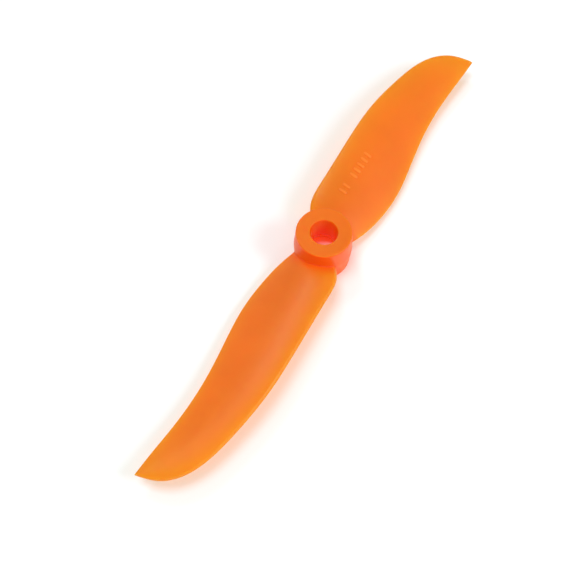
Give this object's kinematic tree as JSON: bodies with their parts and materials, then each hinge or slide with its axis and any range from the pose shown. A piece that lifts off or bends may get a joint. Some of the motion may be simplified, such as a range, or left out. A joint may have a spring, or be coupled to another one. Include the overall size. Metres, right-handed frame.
{
  "type": "model aircraft propeller",
  "caption": "Model aircraft propeller: a round hub with a through bore and a rear counterbore, and swept, twisted blades of translucent orange plastic.",
  "frame": {"origin": "centre of the hub's back face, on the shaft axis", "axes": "+Z along the shaft axis to the front face, the side that faces forward in flight; +X along blade 1 to its tip; +Y is the side that blade 1 leads with, so it turns counter-clockwise seen from +Z"},
  "size_m": [0.127, 0.0232, 0.01],
  "materials": {
    "orange_plastic": "satin gloss, slightly translucent injection-moulded nylon"
  },
  "bodies": {
    "root": {"hub": "orange_plastic", "blade_1": "orange_plastic", "blade_2": "orange_plastic"}
  },
  "joints": []
}
